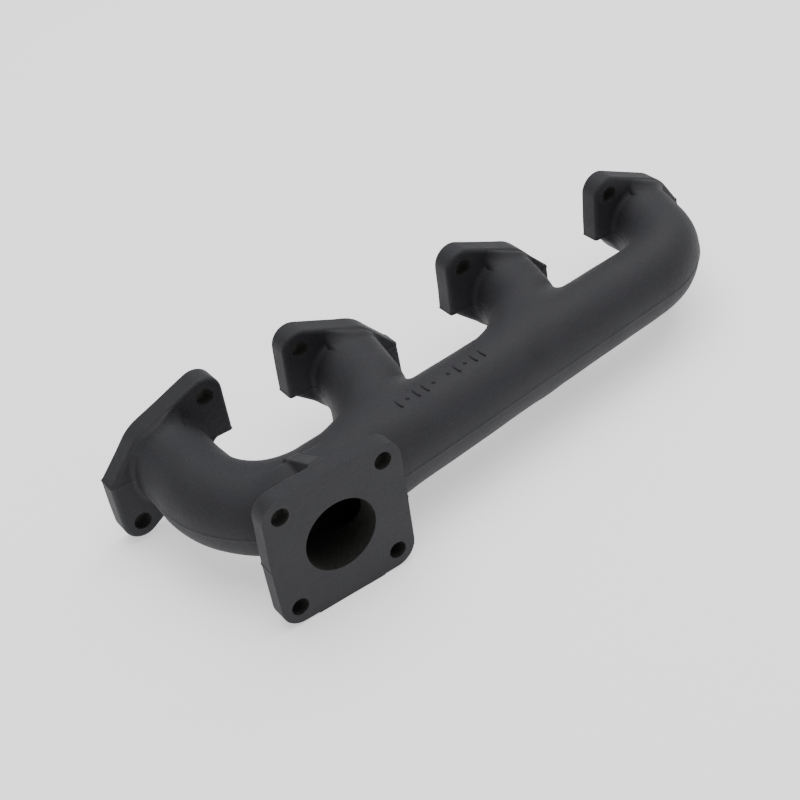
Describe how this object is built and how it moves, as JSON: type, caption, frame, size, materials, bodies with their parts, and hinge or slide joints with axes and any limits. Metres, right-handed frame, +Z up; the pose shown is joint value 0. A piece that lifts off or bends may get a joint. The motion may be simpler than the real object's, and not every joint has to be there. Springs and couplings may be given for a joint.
{
  "type": "exhaust manifold",
  "caption": "Cast-iron log exhaust manifold: port flanges on short curved branches that run into one round gallery, which turns out through a square bolted outlet flange.",
  "frame": {"origin": "centre of port flange 1's bolt pattern on the machined engine face", "axes": "+X along the row of ports from port 1 to port 4, +Y towards the cylinder head, +Z up as the flanges' parting plane is Z = 0"},
  "size_m": [0.3661, 0.1105, 0.0724],
  "materials": {
    "cast_iron": "sand-cast skin with a thin dark grey coating, satin"
  },
  "bodies": {
    "root": {"port_flange_1": "cast_iron", "port_flange_2": "cast_iron", "port_flange_3": "cast_iron", "port_flange_4": "cast_iron", "branch_1": "cast_iron", "branch_2": "cast_iron", "branch_3": "cast_iron", "branch_4": "cast_iron", "outlet_chamber": "cast_iron", "gallery_1": "cast_iron", "gallery_2": "cast_iron", "outlet_flange": "cast_iron", "outlet_rib": "cast_iron", "casting_marks": "cast_iron"}
  },
  "joints": []
}
